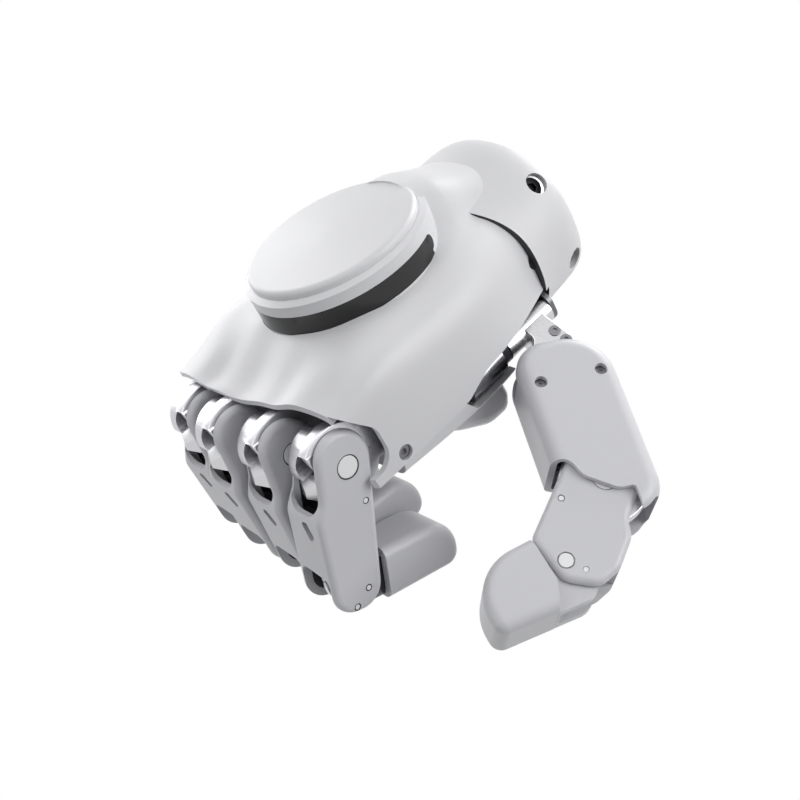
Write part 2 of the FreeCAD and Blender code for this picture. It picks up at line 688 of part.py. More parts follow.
def stop_shape():
    """The stop in the bite: a tooth over a faceted block."""
    core = front_prism([(-1.3, -3.0, 0), (-1.3, 7.0, 2.9), (4.6, 7.0, 0), (4.6, -3.0, 0)], 2.41, 3.4)
    tooth = side_prism([(3.3, 5.9, 0), (5.8, 5.9, 0.3), (7.4, 4.7, 0.3), (5.2, 0.6, 0.3), (3.3, 0.6, 0)], 0.0, 4.4)
    tooth = tooth.common(plan_prism([(3.3, 0.0, 0), (8, 2.0, 0), (8, 4.4, 0), (3.3, 4.4, 0)], 0, 8))
    lump = side_prism([(1.52, -5.3, 0), (3.3, -3.5, 0), (11.6, -2.9, 0.4), (12.2, -4.4, 0.4),
                       (10.4, -8.4, 0.4), (1.52, -7.6, 0)], -4.7, inside - 0.4)
    lump = lump.cut(plan_prism([(13, -5, 0), (13, -1.2, 0), (7.6, -5, 0)], -12, 0))
    return core.fuse(tooth).fuse(lump.cut(cross_rod(size("hinge_radius") + running, 0, 0, -20, 20)))


def proximal_shape(outline, half, cheek_wall, window_end, roof_end, floor_span, slot, holes):
    """A finger's first casing: two cheeks joined by a roof with a slanted slot."""
    body = side_prism(outline, -half, half)
    body = softened(body, 1.9, lambda edge: on_side(edge, half))
    clear = half - cheek_wall
    roof = outline[4][1] - cheek_wall
    fall = (outline[4][1] - outline[3][1]) / (outline[3][0] - outline[4][0])
    far = outline[3][0] + 5
    # The window over the knuckle, round at its lower end.
    body = body.cut(plan_prism([(-40, -clear, 0), (-40, clear, 0), (window_end, clear, 4.6),
                                (window_end, -clear, 4.6)], -30, 30))
    # The channel under the roof and the open lower window.
    channel = side_prism([(window_end - 6, -30, 0), (window_end - 6, roof, 0), (window_end + 2, roof, 0),
                          (far, roof - fall * (far - window_end - 2), 0), (far, -30, 0)], -clear, clear)
    floor = block((floor_span[0], -clear, -30), (floor_span[1], clear, floor_span[2]))
    body = body.cut(channel.cut(floor))
    body = body.cut(plan_prism([(roof_end, -clear, 2.5), (roof_end + 1.2, clear, 2.5), (60, clear, 0),
                                (60, -clear, 0)], 0, 40))
    for x, z, shaft, head, depth in holes:
        body = body.cut(cross_rod(shaft + touch, x, z, -half - 1, half + 1))
        body = body.cut(cross_rod(head, x, z, half - depth, half + 1))
        body = body.cut(cross_rod(head, x, z, -half - 1, -half + depth))
    start, end, radius = slot
    run = Vector(end[0] - start[0], end[1] - start[1], 0)
    across = Vector(-run.y, run.x, 0).normalize() * radius
    along = run.normalize() * radius
    a = Vector(start[0], start[1], 0) - along
    b = Vector(end[0], end[1], 0) + along
    body = body.cut(plan_prism([tuple((a + across))[:2] + (radius * 0.98,), tuple((b + across))[:2] + (radius * 0.98,),
                                tuple((b - across))[:2] + (radius * 0.98,), tuple((a - across))[:2] + (radius * 0.98,)],
                               outline[4][1] - cheek_wall - 3, outline[4][1] + 3))
    return body


def pin_group(half, hinge, cap, tip_at, tip_pin, stubs):
    """The hinge pins of a casing, with their caps, and its small side pins."""
    main = cross_rod(hinge, 0, 0, -half + 0.7, half - 0.7)
    for side in (-1, 1):
        ends = sorted((side * (half - 0.75), side * (half - 0.06)))
        main = main.fuse(cross_rod(cap, 0, 0, *ends))
    main = softened(main, 0.25, lambda edge: abs(abs(edge.BoundBox.YMax) - half + 0.06) < 0.01
                    and edge.BoundBox.YLength < 0.01)
    second = cross_rod(tip_pin * 0.8, tip_at[0], tip_at[1], -half + 0.4, half - 0.4)
    for side in (-1, 1):
        ends = sorted((side * (half - 0.48), side * (half - 0.05)))
        second = second.fuse(cross_rod(tip_pin, tip_at[0], tip_at[1], *ends))
    group = [main, second]
    for x, z, radius in stubs:
        for side in (-1, 1):
            ends = sorted((side * (half - 1.9), side * (half - 0.15)))
            group.append(cross_rod(radius, x, z, *ends))
    return Part.makeCompound(group)


def link_shape(start, end, low, high):
    """The coupling link: two bright strips joined by a web and a cross pin."""
    strips = [side_prism([(start, low, 1.2), (end, low, 1.5), (end, high, 1.5), (start, high, 1.2)], *span)
              for span in ((-2.6, -1.2), (1.2, 2.6))]
    web = block((start + 0.5, -1.3, low + 0.8), (start + 3.0, 1.3, high - 0.8))
    pin = cross_rod(0.9, end - 1.9, (low + high) / 2, -3.1, 3.1)
    return strips[0].fuse(strips[1]).fuse(web).fuse(pin)


def tip_shapes(outline, half, ear, eye, pin, neck, base_back, base_low, cover_cut):
    """A fingertip: a frame with two eyes on the pin, and a cover over its core."""
    body = side_prism(outline, -half, half)
    body = softened(body, 3.0, lambda edge: on_side(edge, half))
    cover = body.cut(side_prism(cover_cut, -half - 1, half + 1))
    low = min(corner[1] for corner in outline)
    high = max(corner[1] for corner in outline)
    reach = max(corner[0] for corner in outline)
    # The recessed base that shows between the casing and the cover.
    base = body.common(block((base_back, -ear, base_low), (neck, ear, high)))
    base = base.common(side_prism(cover_cut, -half - 1, half + 1))
    # Clear of the casing's roof and of the cross pin of the link.
    base = base.cut(block((-20, -3.4, -20), (eye + 1.8, 3.4, 20)))
    eyes = cross_rod(eye, 0, 0, -ear, -3.4).fuse(cross_rod(eye, 0, 0, 3.4, ear))
    arms = block((0, -ear, -eye * 0.85), (neck, -3.4, eye * 0.7)).fuse(
        block((0, 3.4, -eye * 0.85), (neck, ear, eye * 0.7)))
    bridge = block((eye + 1.8, -3.5, -eye * 0.85), (neck, 3.5, eye * 0.7))
    core = block((neck - 1, -half * 0.55, low * 0.5), (reach * 0.72, half * 0.55, high * 0.45))
    frame = eyes.fuse(arms).fuse(bridge).fuse(core).fuse(base)
    frame = frame.common(block((-20, -half, low), (reach, half, high)))
    cover = cover.cut(block((-20, -half * 0.55 - touch, low * 0.5 - touch),
                            (reach * 0.72 + touch, half * 0.55 + touch, high * 0.45 + touch)))
    cover = cover.cut(block((-20, -ear - 0.15, -eye * 0.85 - 0.15), (neck + touch, ear + 0.15, eye * 0.7 + 0.15)))
    frame = frame.cut(cross_rod(pin + running, 0, 0, -ear - 1, ear + 1))
    return frame, cover


def make_fingers():
    tip_reach = size("tip_reach")
    knuckle_pins = (size("hinge_radius"), size("cap_radius"))
    joint = (size("phalanx"), -1.7)
    holes = (
        (0, 0, knuckle_pins[0], knuckle_pins[1] + 0.35, 0.8),
        (joint[0], joint[1], size("tip_pin_radius") * 0.8, size("tip_pin_radius") + 0.35, 0.55),
        (LINK_PIN[0], LINK_PIN[1], 0.7, 1.1, 0.9),
        (SIDE_PIN[0], SIDE_PIN[1], 0.7, 1.0, 0.9),
    )
    casing = proximal_shape(PROXIMAL_OUTLINE, half_width, cheek, 12.2, 29.4, (15, 27, -5.9),
                            ((15.2, 0.6), (18.2, 2.7), 0.85), holes)
    pins = pin_group(half_width, knuckle_pins[0], knuckle_pins[1], joint, size("tip_pin_radius"),
                     ((LINK_PIN[0], LINK_PIN[1], 0.7), (SIDE_PIN[0], SIDE_PIN[1], 0.7)))
    link = link_shape(18.8, 36.0, 2.4, 5.9)
    tip_outline = ((-6, 7.6, 0), (tip_reach, 6.2, 4.4), (tip_reach, -8.4, 9.6), (-6, -8.0, 0))
    cover_cut = ((-20, -20, 0), (-20, 20, 0), (6.8, 20, 0), (6.8, -20, 0))
    tip_frame, tip_cover = tip_shapes(tip_outline, half_width, inside - 0.3, 6.2,
                                      size("tip_pin_radius") * 0.8, 9.6, -5.0, -6.2, cover_cut)
    stop = stop_shape()
    for name in FINGERS:
        x, z, bend = KNUCKLE[name]
        y = finger_y(name)
        root = Placement(Vector(x, y, z), Rotation())
        first = root * Placement(Vector(0, 0, 0), Rotation(Vector(0, 1, 0), bend))
        second = first * Placement(Vector(joint[0], 0, joint[1]), Rotation(Vector(0, 1, 0), TIP_BEND))
        add_piece(name + "_knuckle", knuckle_shape(x - bar_front - touch, KNUCKLE_LOW_CUT), root)
        add_piece(name + "_stop", stop.copy(), root)
        add_piece(name + "_proximal", casing.copy(), first)
        add_piece(name + "_pins", pins.copy(), first)
        add_piece(name + "_link", link.copy(), first)
        add_piece(name + "_tip_frame", tip_frame.copy(), second)
        add_piece(name + "_tip_cover", tip_cover.copy(), second)
    screws = []
    for name in FINGERS:
        x, z, bend = KNUCKLE[name]
        seat = Vector(x, finger_y(name) - 1, z) + Vector(*SCREW_LEAN) * (7.5 + touch + 1.4)
        screws.append(turned(socket_screw(1.5, 1.4, 0.8, 0), seat, SCREW_LEAN))
    add_piece("knuckle_screws", Part.makeCompound(screws))


make_fingers()


# The thumb. Its plane is turned down from level; pieces are modelled with +X to the tip, +Z to
# the back of the thumb and +Y down out of its far side face.

thumb_base = Vector(31.9, 30.0, -16.0)
tilt = math.radians(size("thumb_tilt"))
THUMB_BEND = (58.0, 38.0, 38.0)
SWING_PIN = (4.0, 14.0)


def thumb_plane():
    along = Vector(1, 0, 0)
    outward = Vector(0, math.cos(tilt), -math.sin(tilt))
    down = outward.cross(along)
    matrix = FreeCAD.Matrix(along.x, down.x, outward.x, thumb_base.x,
                            along.y, down.y, outward.y, thumb_base.y,
                            along.z, down.z, outward.z, thumb_base.z, 0, 0, 0, 1)
    return Placement(matrix)


def make_thumb():
    plane = thumb_plane()
    swing = plane * Placement(Vector(SWING_PIN[0], 0, SWING_PIN[1]), Rotation(Vector(0, 1, 0), -THUMB_BEND[0]))
    knuckle_at = (size("thumb_length"), -0.9)
    joint_at = (size("thumb_phalanx"), -1.8)
    first = swing * Placement(Vector(knuckle_at[0], 0, knuckle_at[1]), Rotation(Vector(0, 1, 0), THUMB_BEND[1]))
    second = first * Placement(Vector(joint_at[0], 0, joint_at[1]), Rotation(Vector(0, 1, 0), THUMB_BEND[2]))

    # The turning shaft with the arm that carries the whole thumb.
    to_local = plane.inverse()
    shaft_start = to_local.multVec(Vector(21.9, shaft_y, shaft_z))
    shaft_end = to_local.multVec(Vector(45.0 - touch, shaft_y, shaft_z))
    hub_start = to_local.multVec(Vector(23.5, shaft_y, shaft_z))
    hub_end = to_local.multVec(Vector(41.6, shaft_y, shaft_z))
    shaft = rod(2.5, tuple(shaft_start), tuple(shaft_end))
    hub = rod(4.2, tuple(hub_start), tuple(hub_end))
    arm = side_prism([(-5.3, -4.0, 1.0), (-5.3, 10.5, 3.0), (0.5, 19.4, 5.0), (9.4, 19.4, 5.0),
                      (9.4, 8.6, 5.0), (3.0, 4.0, 2.0), (3.0, -4.0, 1.0)], -4.0, 4.0)
    arm = softened(arm, 0.6, lambda edge: on_side(edge, 4.0))
    bracket = shaft.fuse(hub).fuse(arm)
    bracket = bracket.cut(cross_rod(size("hinge_radius") + running, SWING_PIN[0], SWING_PIN[1], -5, 5))
    screws = []
    for z in (6.9, 11.1):
        bracket = bracket.cut(cross_rod(1.75, -3.0, z, -5.0, -3.4))
        screws.append(turned(socket_screw(1.7, 0.9, 0.8, 0.0), (-3.0, -4.32, z), (0, -1, 0)))
    add_piece("thumb_bracket", bracket, plane)
    add_piece("bracket_screws", Part.makeCompound(screws), plane)

    # The base casing: a soft-edged capsule with an S-shaped lower lip and a hood at the back.
    half = size("thumb_width") / 2
    outline = [(-4.0, 13.1, 13.5), (51.0, 13.1, 9.5), (51.0, -13.3, 6.0), (-5.2, -13.3, 8.5)]
    casing = side_prism(outline, -half, half)
    casing = softened(casing, 4.2, lambda edge: on_side(edge, half))
    inner = side_prism([(-2.6, 11.1, 11.5), (60.0, 11.1, 0), (60.0, -11.3, 0), (-3.2, -11.3, 6.5)],
                       -half + 1.7, half - 1.7)
    casing = casing.cut(softened(inner, 2.0, lambda edge: on_side(edge, half - 1.7)))
    # The lower lip on both side faces: an S that rises on the palm side.
    lip = side_prism([(31.4, -30, 0), (31.4, -9.0, 4.5), (37.5, -6.6, 6.0), (43.4, 1.4, 5.0),
                      (43.4, 5.6, 1.2), (70, 5.6, 0), (70, -30, 0)], -30, 30)
    casing = casing.cut(lip)
    # The arm enters through a slot in the top end.
    casing = casing.cut(block((-12, -4.8, -20), (4.0, 4.8, 20)))
    # Recessed screws hold the casing on its frame.
    spots = ((8.5, -8.6), (8.8, 8.4))
    for x, z in spots:
        casing = casing.cut(cross_rod(1.75, x, z, -half - 1, half + 1))
    add_piece("thumb_base_casing", casing, swing)
    frame_half = half - 1.7 - touch
    cheeks = []
    for low, high in ((-frame_half, -4.4), (4.4, frame_half)):
        plate = side_prism([(-2.3, 10.6, 11.2), (27.0, 10.6, 3.0), (27.0, -10.8, 3.0), (-2.9, -10.8, 6.2)],
                           low, high)
        cheeks.append(softened(plate, 1.6, lambda edge, half=frame_half: on_side(edge, half)))
    frame = cheeks[0].fuse(cheeks[1])
    frame = frame.fuse(block((12.0, -4.5, -10.0), (26.0, 4.5, 9.8)))
    frame = frame.cut(cross_rod(size("hinge_radius") + touch, 0, 0, -30, 30))
    for x, z in spots:
        frame = frame.cut(cross_rod(1.75, x, z, frame_half - 1.2, 30)).cut(cross_rod(1.75, x, z, -30, -frame_half + 1.2))
    add_piece("thumb_base_frame", frame, swing)
    heads = []
    for x, z in spots:
        for side in (-1, 1):
            heads.append(turned(socket_screw(1.7, 1.0, 0.5, 0.0), (x, side * (frame_half - 0.15), z), (0, side, 0)))
    swing_pin = cross_rod(size("hinge_radius"), 0, 0, 0.8 - frame_half, frame_half - 0.8)
    add_piece("thumb_base_screws", Part.makeCompound(heads), swing)
    add_piece("thumb_swing_pin", swing_pin, swing)

    # The thumb's knuckle, one size up from the fingers'.
    thumb_half = 9.0
    clear = thumb_half - cheek - 0.25
    drum = cross_rod(size("drum_radius"), 0, 0, -clear, clear)
    ring = cross_rod(size("hub_radius"), 0, 0, -clear, -clear + 3.2)
    ring = softened(ring, 0.5, lambda edge: edge.BoundBox.YMax < -clear + 0.1)
    heel = block((-knuckle_at[0] + 27.0 + touch, -clear, -6.0), (-1, clear, 6.0))
    body = drum.fuse(ring).fuse(heel)
    body = body.cut(front_prism([(2.2, -14, 0), (2.2, 5.4, 3.4), (-3.0, 5.4, 0), (-3.0, -14, 0)], 2.4, 16))
    body = body.cut(side_prism(KNUCKLE_LOW_CUT, -20, 20))
    body = body.cut(cross_rod(size("hinge_radius") + running, 0, 0, -20, 20))
    add_piece("thumb_knuckle", body, swing * Placement(Vector(knuckle_at[0], 0, knuckle_at[1]), Rotation()))

    outline = ((-10.6, 9.2, 7.6), (-10.6, -10.8, 9.4), (23.4, -11.9, 3.5), (30.4, -0.5, 5.0),
               (28.2, 8.4, 4.5), (22.0, 11.5, 5.0), (12.5, 11.6, 5.0), (8.0, 9.2, 5.0))
    holes = (
        (0, 0, size("hinge_radius"), size("cap_radius") + 0.35, 0.8),
        (joint_at[0], joint_at[1], 1.5, 2.3, 0.8),
        (25.7, 3.6, 0.8, 0.8, 0.9),
        (9.8, -8.6, 0.7, 1.0, 0.9),
    )
    casing = thumb_casing(outline, thumb_half, holes)
    add_piece("thumb_proximal", casing, first)
    pins = pin_group(thumb_half, size("hinge_radius"), size("cap_radius"), joint_at, 1.9,
                     ((25.7, 3.6, 0.7), (9.8, -8.6, 0.7)))
    add_piece("thumb_pins", pins, first)
    add_piece("thumb_link", link_shape(14.8, 26.2, 3.4, 6.9), first)

    reach = size("thumb_tip_reach")
    tip_outline = ((-6, 11.6, 6), (reach, 8.6, 3.4), (reach, -9.9, 14), (-6, -9.6, 0))
    cover_cut = ((-20, -20, 0), (-20, 20, 0), (13.0, 20, 0), (4.7, 3.4, 2), (4.7, -20, 0))
    tip_frame, tip_cover = tip_shapes(tip_outline, 9.3, clear - 0.3, 5.6, 1.5, 8.0, -4.6, -5.0, cover_cut)
    add_piece("thumb_tip_frame", tip_frame, second)
    add_piece("thumb_tip_cover", tip_cover, second)


def thumb_casing(outline, half, holes):
    """The thumb's middle casing, built like a finger's but shorter and deeper."""
    body = side_prism(outline, -half, half)
    body = softened(body, 1.8, lambda edge: on_side(edge, half))
    clear = half - cheek
    body = body.cut(plan_prism([(-40, -clear, 0), (-40, clear, 0), (12.4, clear, 4.6), (12.4, -clear, 4.6)], -30, 30))
    channel = side_prism([(6, -30, 0), (6, 9.4, 0), (60, 9.4, 0), (60, -30, 0)], -clear, clear)
    floor = block((14, -clear, -30), (17.5, clear, -9.6))
    body = body.cut(channel.cut(floor))
    body = body.cut(block((20.5, -clear, 0), (60, clear, 40)))
    for x, z, shaft, head, depth in holes:
        body = body.cut(cross_rod(shaft + touch, x, z, -half - 1, half + 1))
        body = body.cut(cross_rod(head, x, z, half - depth, half + 1))
        body = body.cut(cross_rod(head, x, z, -half - 1, -half + depth))
    return body


make_thumb()


def make_side_screws():
    half = size("palm_half")
    screws = []
    for side in SIDE_SCREW_SIDES:
        screw = socket_screw(2.1, 1.8, 1.0, half - 0.9 - 1.8 - 36.5 - touch)
        spot = (side_screw_x, side * (half - 0.9), SIDE_SCREW_Z)
        screws.append(turned(screw, spot, (0, side, 0)))
    add_piece("side_screws", Part.makeCompound(screws))


make_side_screws()

doc.recompute()
for feature in doc.Objects:
    if "Invalid" in feature.State or "Error" in feature.State:
        raise RuntimeError("failed: " + feature.Name)
os.makedirs("parts", exist_ok=True)
for label, feature in pieces.items():
    shape = feature.Shape
    if shape.isNull() or not shape.isValid():
        raise RuntimeError("bad shape: " + label)
    shape.exportStep("parts/%s.step" % label)
    print(label, len(shape.Solids), round(shape.Volume, 1))
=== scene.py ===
import json
import math

import bmesh
import bpy
from mathutils import Matrix, Vector


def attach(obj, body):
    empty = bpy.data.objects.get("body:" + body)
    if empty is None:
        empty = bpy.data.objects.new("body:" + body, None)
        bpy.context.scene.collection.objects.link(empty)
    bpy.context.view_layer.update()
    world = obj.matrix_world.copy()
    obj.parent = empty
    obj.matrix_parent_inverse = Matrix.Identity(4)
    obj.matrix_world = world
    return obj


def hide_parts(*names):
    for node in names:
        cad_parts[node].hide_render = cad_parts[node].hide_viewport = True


MM = 0.001
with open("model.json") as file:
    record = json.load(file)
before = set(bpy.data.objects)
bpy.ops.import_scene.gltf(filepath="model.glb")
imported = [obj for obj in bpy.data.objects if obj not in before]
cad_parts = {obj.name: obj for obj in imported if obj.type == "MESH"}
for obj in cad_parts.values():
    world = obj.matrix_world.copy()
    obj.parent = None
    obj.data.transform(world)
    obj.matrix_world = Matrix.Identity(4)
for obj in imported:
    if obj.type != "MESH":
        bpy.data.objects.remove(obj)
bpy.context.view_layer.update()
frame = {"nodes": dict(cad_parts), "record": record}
nodes = frame["nodes"]


# Materials. Each is named for what the real finish is and how its surface was made.

# Tone drifts over a few centimetres on a moulding, and over one centimetre on a worked metal.
MOULDING_DRIFT_MM = 35.0
METAL_DRIFT_MM = 12.0
# A spark-eroded grain is about 0.05 mm in the real mould. It is drawn coarser, as it wouldn't show.
MOULD_GRAIN_MM = 0.35
MOULD_RELIEF_MM = 0.02
METAL_RELIEF_MM = 0.01
# How a metal's lines run: the same every way after blasting, or drawn out along or round an axis.
EVEN = (1.0, 1.0, 1.0)
TURNED_ROUND_X = (1.0, 0.05, 0.05)
GROUND_ALONG_X = (0.1, 1.0, 1.0)
DRAWN_ALONG_X = (0.05, 1.0, 1.0)
POLISHED_ALONG_Y = (1.0, 0.1, 1.0)


def linear(code):
    """An sRGB hex colour as the linear colour that the shader takes."""
    channels = [int(code[place:place + 2], 16) / 255 for place in (1, 3, 5)]
    return [c / 12.92 if c <= 0.04045 else ((c + 0.055) / 1.055) ** 2.4 for c in channels] + [1.0]


def add_node(tree, kind, settings=None, links=None):
    """A shader node with its settings, sockets and incoming links."""
    node = tree.nodes.new(kind)
    for name, value in (settings or {}).items():
        if isinstance(name, int) or name in node.inputs:
            node.inputs[name].default_value = value
        else:
            setattr(node, name, value)
    for name, source in (links or {}).items():
        tree.links.new(source, node.inputs[name])
    return node


def new_material(name):
    """A bare node material with its shader and the object's own coordinates."""
    material = bpy.data.materials.new(name)
    material.use_nodes = True
    tree = material.node_tree
    shader = tree.nodes["Principled BSDF"]
    place = add_node(tree, "ShaderNodeTexCoord").outputs["Object"]
    return material, tree, shader, place


def moulded_plastic(name, colour, roughness, grain=0.10, coat=0.0):
    """Injection-moulded plastic: an even spark-eroded grain with a faint drift in tone."""
    material, tree, shader, place = new_material(name)
    shader.inputs["IOR"].default_value = 1.52
    # The drift keeps large faces from looking painted in one flat colour.
    mottle = 0.02
    drift = add_node(
        tree, "ShaderNodeTexNoise",
        {"Scale": 1 / (MOULDING_DRIFT_MM * MM), "Detail": 3.0, "Roughness": 0.5}, {"Vector": place})
    base = linear(colour)[:3]
    darker = [c * (1 - mottle) for c in base] + [1.0]
    lighter = [min(1.0, c * (1 + mottle)) for c in base] + [1.0]
    tone = add_node(
        tree, "ShaderNodeMix", {"data_type": "RGBA", 6: darker, 7: lighter}, {0: drift.outputs["Fac"]})
    tree.links.new(tone.outputs[2], shader.inputs["Base Color"])
    spark = add_node(
        tree, "ShaderNodeTexNoise",
        {"Scale": 1 / (MOULD_GRAIN_MM * MM), "Detail": 2.0, "Roughness": 0.55}, {"Vector": place})
    sheen = add_node(
        tree, "ShaderNodeMapRange",
        {"From Min": 0.3, "From Max": 0.7, "To Min": roughness - 0.04, "To Max": roughness + 0.05},
        {"Value": spark.outputs["Fac"]})
    tree.links.new(sheen.outputs["Result"], shader.inputs["Roughness"])
    relief = add_node(
        tree, "ShaderNodeBump", {"Strength": grain, "Distance": MOULD_RELIEF_MM * MM},
        {"Height": spark.outputs["Fac"]})
    tree.links.new(relief.outputs["Normal"], shader.inputs["Normal"])
    if coat:
        shader.inputs["Coat Weight"].default_value = coat
        shader.inputs["Coat Roughness"].default_value = 0.12
    return material


def worked_metal(name, colour, roughness, line_mm, direction, depth=0.15):
    """Bare or plated metal with the fine lines or grain that its last tool left.

    The real lines are much finer than line_mm. They are drawn as coarse as they need to show.
    """
    material, tree, shader, place = new_material(name)
    shader.inputs["Metallic"].default_value = 1.0
    tint = 0.04
    stretch = add_node(tree, "ShaderNodeMapping", {"Scale": direction}, {"Vector": place})
    lines = add_node(
        tree, "ShaderNodeTexNoise", {"Scale": 1 / (line_mm * MM), "Detail": 3.0, "Roughness": 0.6},
        {"Vector": stretch.outputs["Vector"]})
    cloud = add_node(
        tree, "ShaderNodeTexNoise", {"Scale": 1 / (METAL_DRIFT_MM * MM), "Detail": 2.0}, {"Vector": place})
    base = linear(colour)
    darker = [c * (1 - tint) for c in base[:3]] + [1.0]
    tone = add_node(
        tree, "ShaderNodeMix", {"data_type": "RGBA", 6: darker, 7: base}, {0: cloud.outputs["Fac"]})
    tree.links.new(tone.outputs[2], shader.inputs["Base Color"])
    rough = add_node(
        tree, "ShaderNodeMapRange",
        {"From Min": 0.25, "From Max": 0.75, "To Min": roughness * 0.75, "To Max": roughness * 1.3},
        {"Value": lines.outputs["Fac"]})
    tree.links.new(rough.outputs["Result"], shader.inputs["Roughness"])
    relief = add_node(
        tree, "ShaderNodeBump", {"Strength": depth, "Distance": METAL_RELIEF_MM * MM},
        {"Height": lines.outputs["Fac"]})
    tree.links.new(relief.outputs["Normal"], shader.inputs["Normal"])
    return material


# Light warm grey shells, moulded and left satin: they take soft highlights with no mirror shine.
shell_grey = moulded_plastic("moulded_satin_pc_abs_light_grey", "#DADADC", 0.42)
# The same plastic from a smoother tool on the round cap: its edge catches a brighter line.
cap_grey = moulded_plastic("moulded_satin_pc_abs_cap_grey", "#DCDCDE", 0.38, grain=0.06)
# The same plastic, painted a slightly deeper grey as shade: fingers and thumb read a tone darker than the
# shell.
finger_grey_painted_shade = moulded_plastic("moulded_satin_pc_abs_grey_painted_shade", "#D0D0D3", 0.40)
# Smoked acrylic of the light band: nearly black, with a soft gloss along its curve.
band_black = moulded_plastic("moulded_smoked_acrylic_gloss", "#08080A", 0.20, grain=0.0)
# Plated knuckles: bright, with the soft bands of a polishing wheel.
knuckle_bright = worked_metal("polished_nickel_plated_steel", "#C6C6CA", 0.33, 0.5, POLISHED_ALONG_Y, 0.04)
# Blasted and clear anodised stops: satin silver facets, each with a tone of its own.
stop_silver = worked_metal("bead_blasted_clear_anodised_aluminium", "#C9C9CB", 0.30, 0.2, EVEN)
# Flange and bracket, fine turned: silver with faint lines round the wrist's axis.
turned_silver = worked_metal("fine_turned_aluminium", "#CFCFD1", 0.26, 0.25, TURNED_ROUND_X)
# The frame inside the palm, blasted and anodised grey: a dull mid tone that stays in the shade.
dark_frame = worked_metal("bead_blasted_grey_anodised_aluminium", "#6E6F72", 0.38, 0.2, EVEN)
# The base of a fingertip, polished before it was anodised: dark, with sharp soft-edged glints.
tip_dark = worked_metal("polished_grey_anodised_aluminium", "#55565A", 0.22, 0.25, EVEN, 0.08)
# Caps on the hinge pins: the whitest spots on the hand, slightly shiny.
pin_white = moulded_plastic("turned_white_acetal", "#F2F2F2", 0.30, grain=0.03)
# Zinc-plated screws: small grey metal glints.
screw_steel = worked_metal("turned_zinc_plated_steel", "#8C8C90", 0.28, 0.12, EVEN)
# The cuff's screws, painted near black as the shade in their holes: the holes look dark from every side.
cuff_screw_painted_shade = worked_metal("steel_painted_shade_black", "#2C2C2F", 0.42, 0.15, EVEN)
# Motor cans, drawn along the palm: long fine lines in a mid grey shine.
motor_steel = worked_metal("drawn_nickel_plated_steel_can", "#A8A8AC", 0.25, 0.3, DRAWN_ALONG_X)
# Ground links and straps: the brightest lines in the dark windows.
link_steel = worked_metal("ground_stainless_steel", "#D4D4D6", 0.20, 0.2, GROUND_ALONG_X)
# Solder mask over the board: dark green with a wet look.
board_green = moulded_plastic("solder_masked_circuit_board", "#123524", 0.30, grain=0.05)
# Black nylon of the plug. The same black is painted shade in the finger liners, the rings under the pin caps
# and the strip under the cuff's lip: it swallows light and reads as depth.
black_nylon_and_painted_shade = moulded_plastic("moulded_nylon_black_and_painted_shade", "#17171A", 0.45)
# The grip pad, cast in a polished mould: smooth and glossy beside the satin cover.
pad_gloss = moulded_plastic("cast_gloss_polyurethane_grey", "#D4D4D6", 0.20, grain=0.0, coat=0.4)

SLOT_FINISH = {
    "casing": shell_grey,
    "cap_casing": cap_grey,
    "light_band": band_black,
    "machined_aluminium": turned_silver,
    "screws": screw_steel,
    "inner_frame": dark_frame,
    "motors": motor_steel,
    "board": board_green,
    "dark_plastic": black_nylon_and_painted_shade,
    "grip_pad": pad_gloss,
    "knuckles": knuckle_bright,
    "stops": stop_silver,
    "pins": pin_white,
    "links": link_steel,
    "tip_frames": tip_dark,
}
# Nodes whose finish isn't the usual one of their slot: the thumb's tip frame in the fingers' grey painted a
# tone deeper as shade, and the cuff's screws painted near black as the shade in their holes.
NODE_FINISH = {"thumb_tip_frame": finger_grey_painted_shade, "cuff_screws": cuff_screw_painted_shade}
HOUSING = ("back", "palm")


def finish_of(node, slot):
    """The finish of a carried node. A casing outside the housing has the fingers' grey, painted a tone deeper
    as shade.
    """
    if slot == "casing" and not node.startswith(HOUSING):
        return finger_grey_painted_shade
    return NODE_FINISH.get(node, SLOT_FINISH[slot])


for entry in frame["record"]["subparts"]:
    carried = nodes[entry["node"]]
    carried.data.materials.clear()
    carried.data.materials.append(finish_of(entry["node"], entry["material_slot"]))


# Tools for shaping a piece by hand: each starts from a primitive and is cut, eased and joined.

def settle():
    """Back to object mode, with nothing selected."""
    if bpy.context.object and bpy.context.object.mode != "OBJECT":
        bpy.ops.object.mode_set(mode="OBJECT")
    bpy.ops.object.select_all(action="DESELECT")


def pick_up(piece):
    """Selects one piece alone and makes it the active one."""
    settle()
    piece.select_set(True)
    bpy.context.view_layer.objects.active = piece


def put_away(*pieces):
    """Removes patterns that have been copied."""
    for piece in pieces:
        bpy.data.objects.remove(piece)


def cross_bar(radius, low, high, x=0.0, z=0.0, sides=96):
    """A round bar across the finger, from one side (y low) to the other."""
    settle()
    bpy.ops.mesh.primitive_cylinder_add(
        vertices=sides, radius=radius * MM, depth=(high - low) * MM,
        location=(x * MM, (low + high) / 2 * MM, z * MM), rotation=(math.pi / 2, 0, 0))
    bpy.ops.object.transform_apply(location=True, rotation=True, scale=True)
    return bpy.context.object


def brick(low, high):
    """A square block from its low corner to its high one."""
    settle()
    middle = [(a + b) / 2 * MM for a, b in zip(low, high)]
    size = [(b - a) * MM for a, b in zip(low, high)]
    bpy.ops.mesh.primitive_cube_add(size=1, location=middle, scale=size)
    bpy.ops.object.transform_apply(location=True, rotation=True, scale=True)
    return bpy.context.object


def use_tool(piece, kind, settings):
    """Adds a modifier with its settings and applies it."""
    pick_up(piece)
    modifier = piece.modifiers.new("shaping", kind)
    for key, value in settings.items():
        setattr(modifier, key, value)
    bpy.ops.object.modifier_apply(modifier=modifier.name)
    return piece


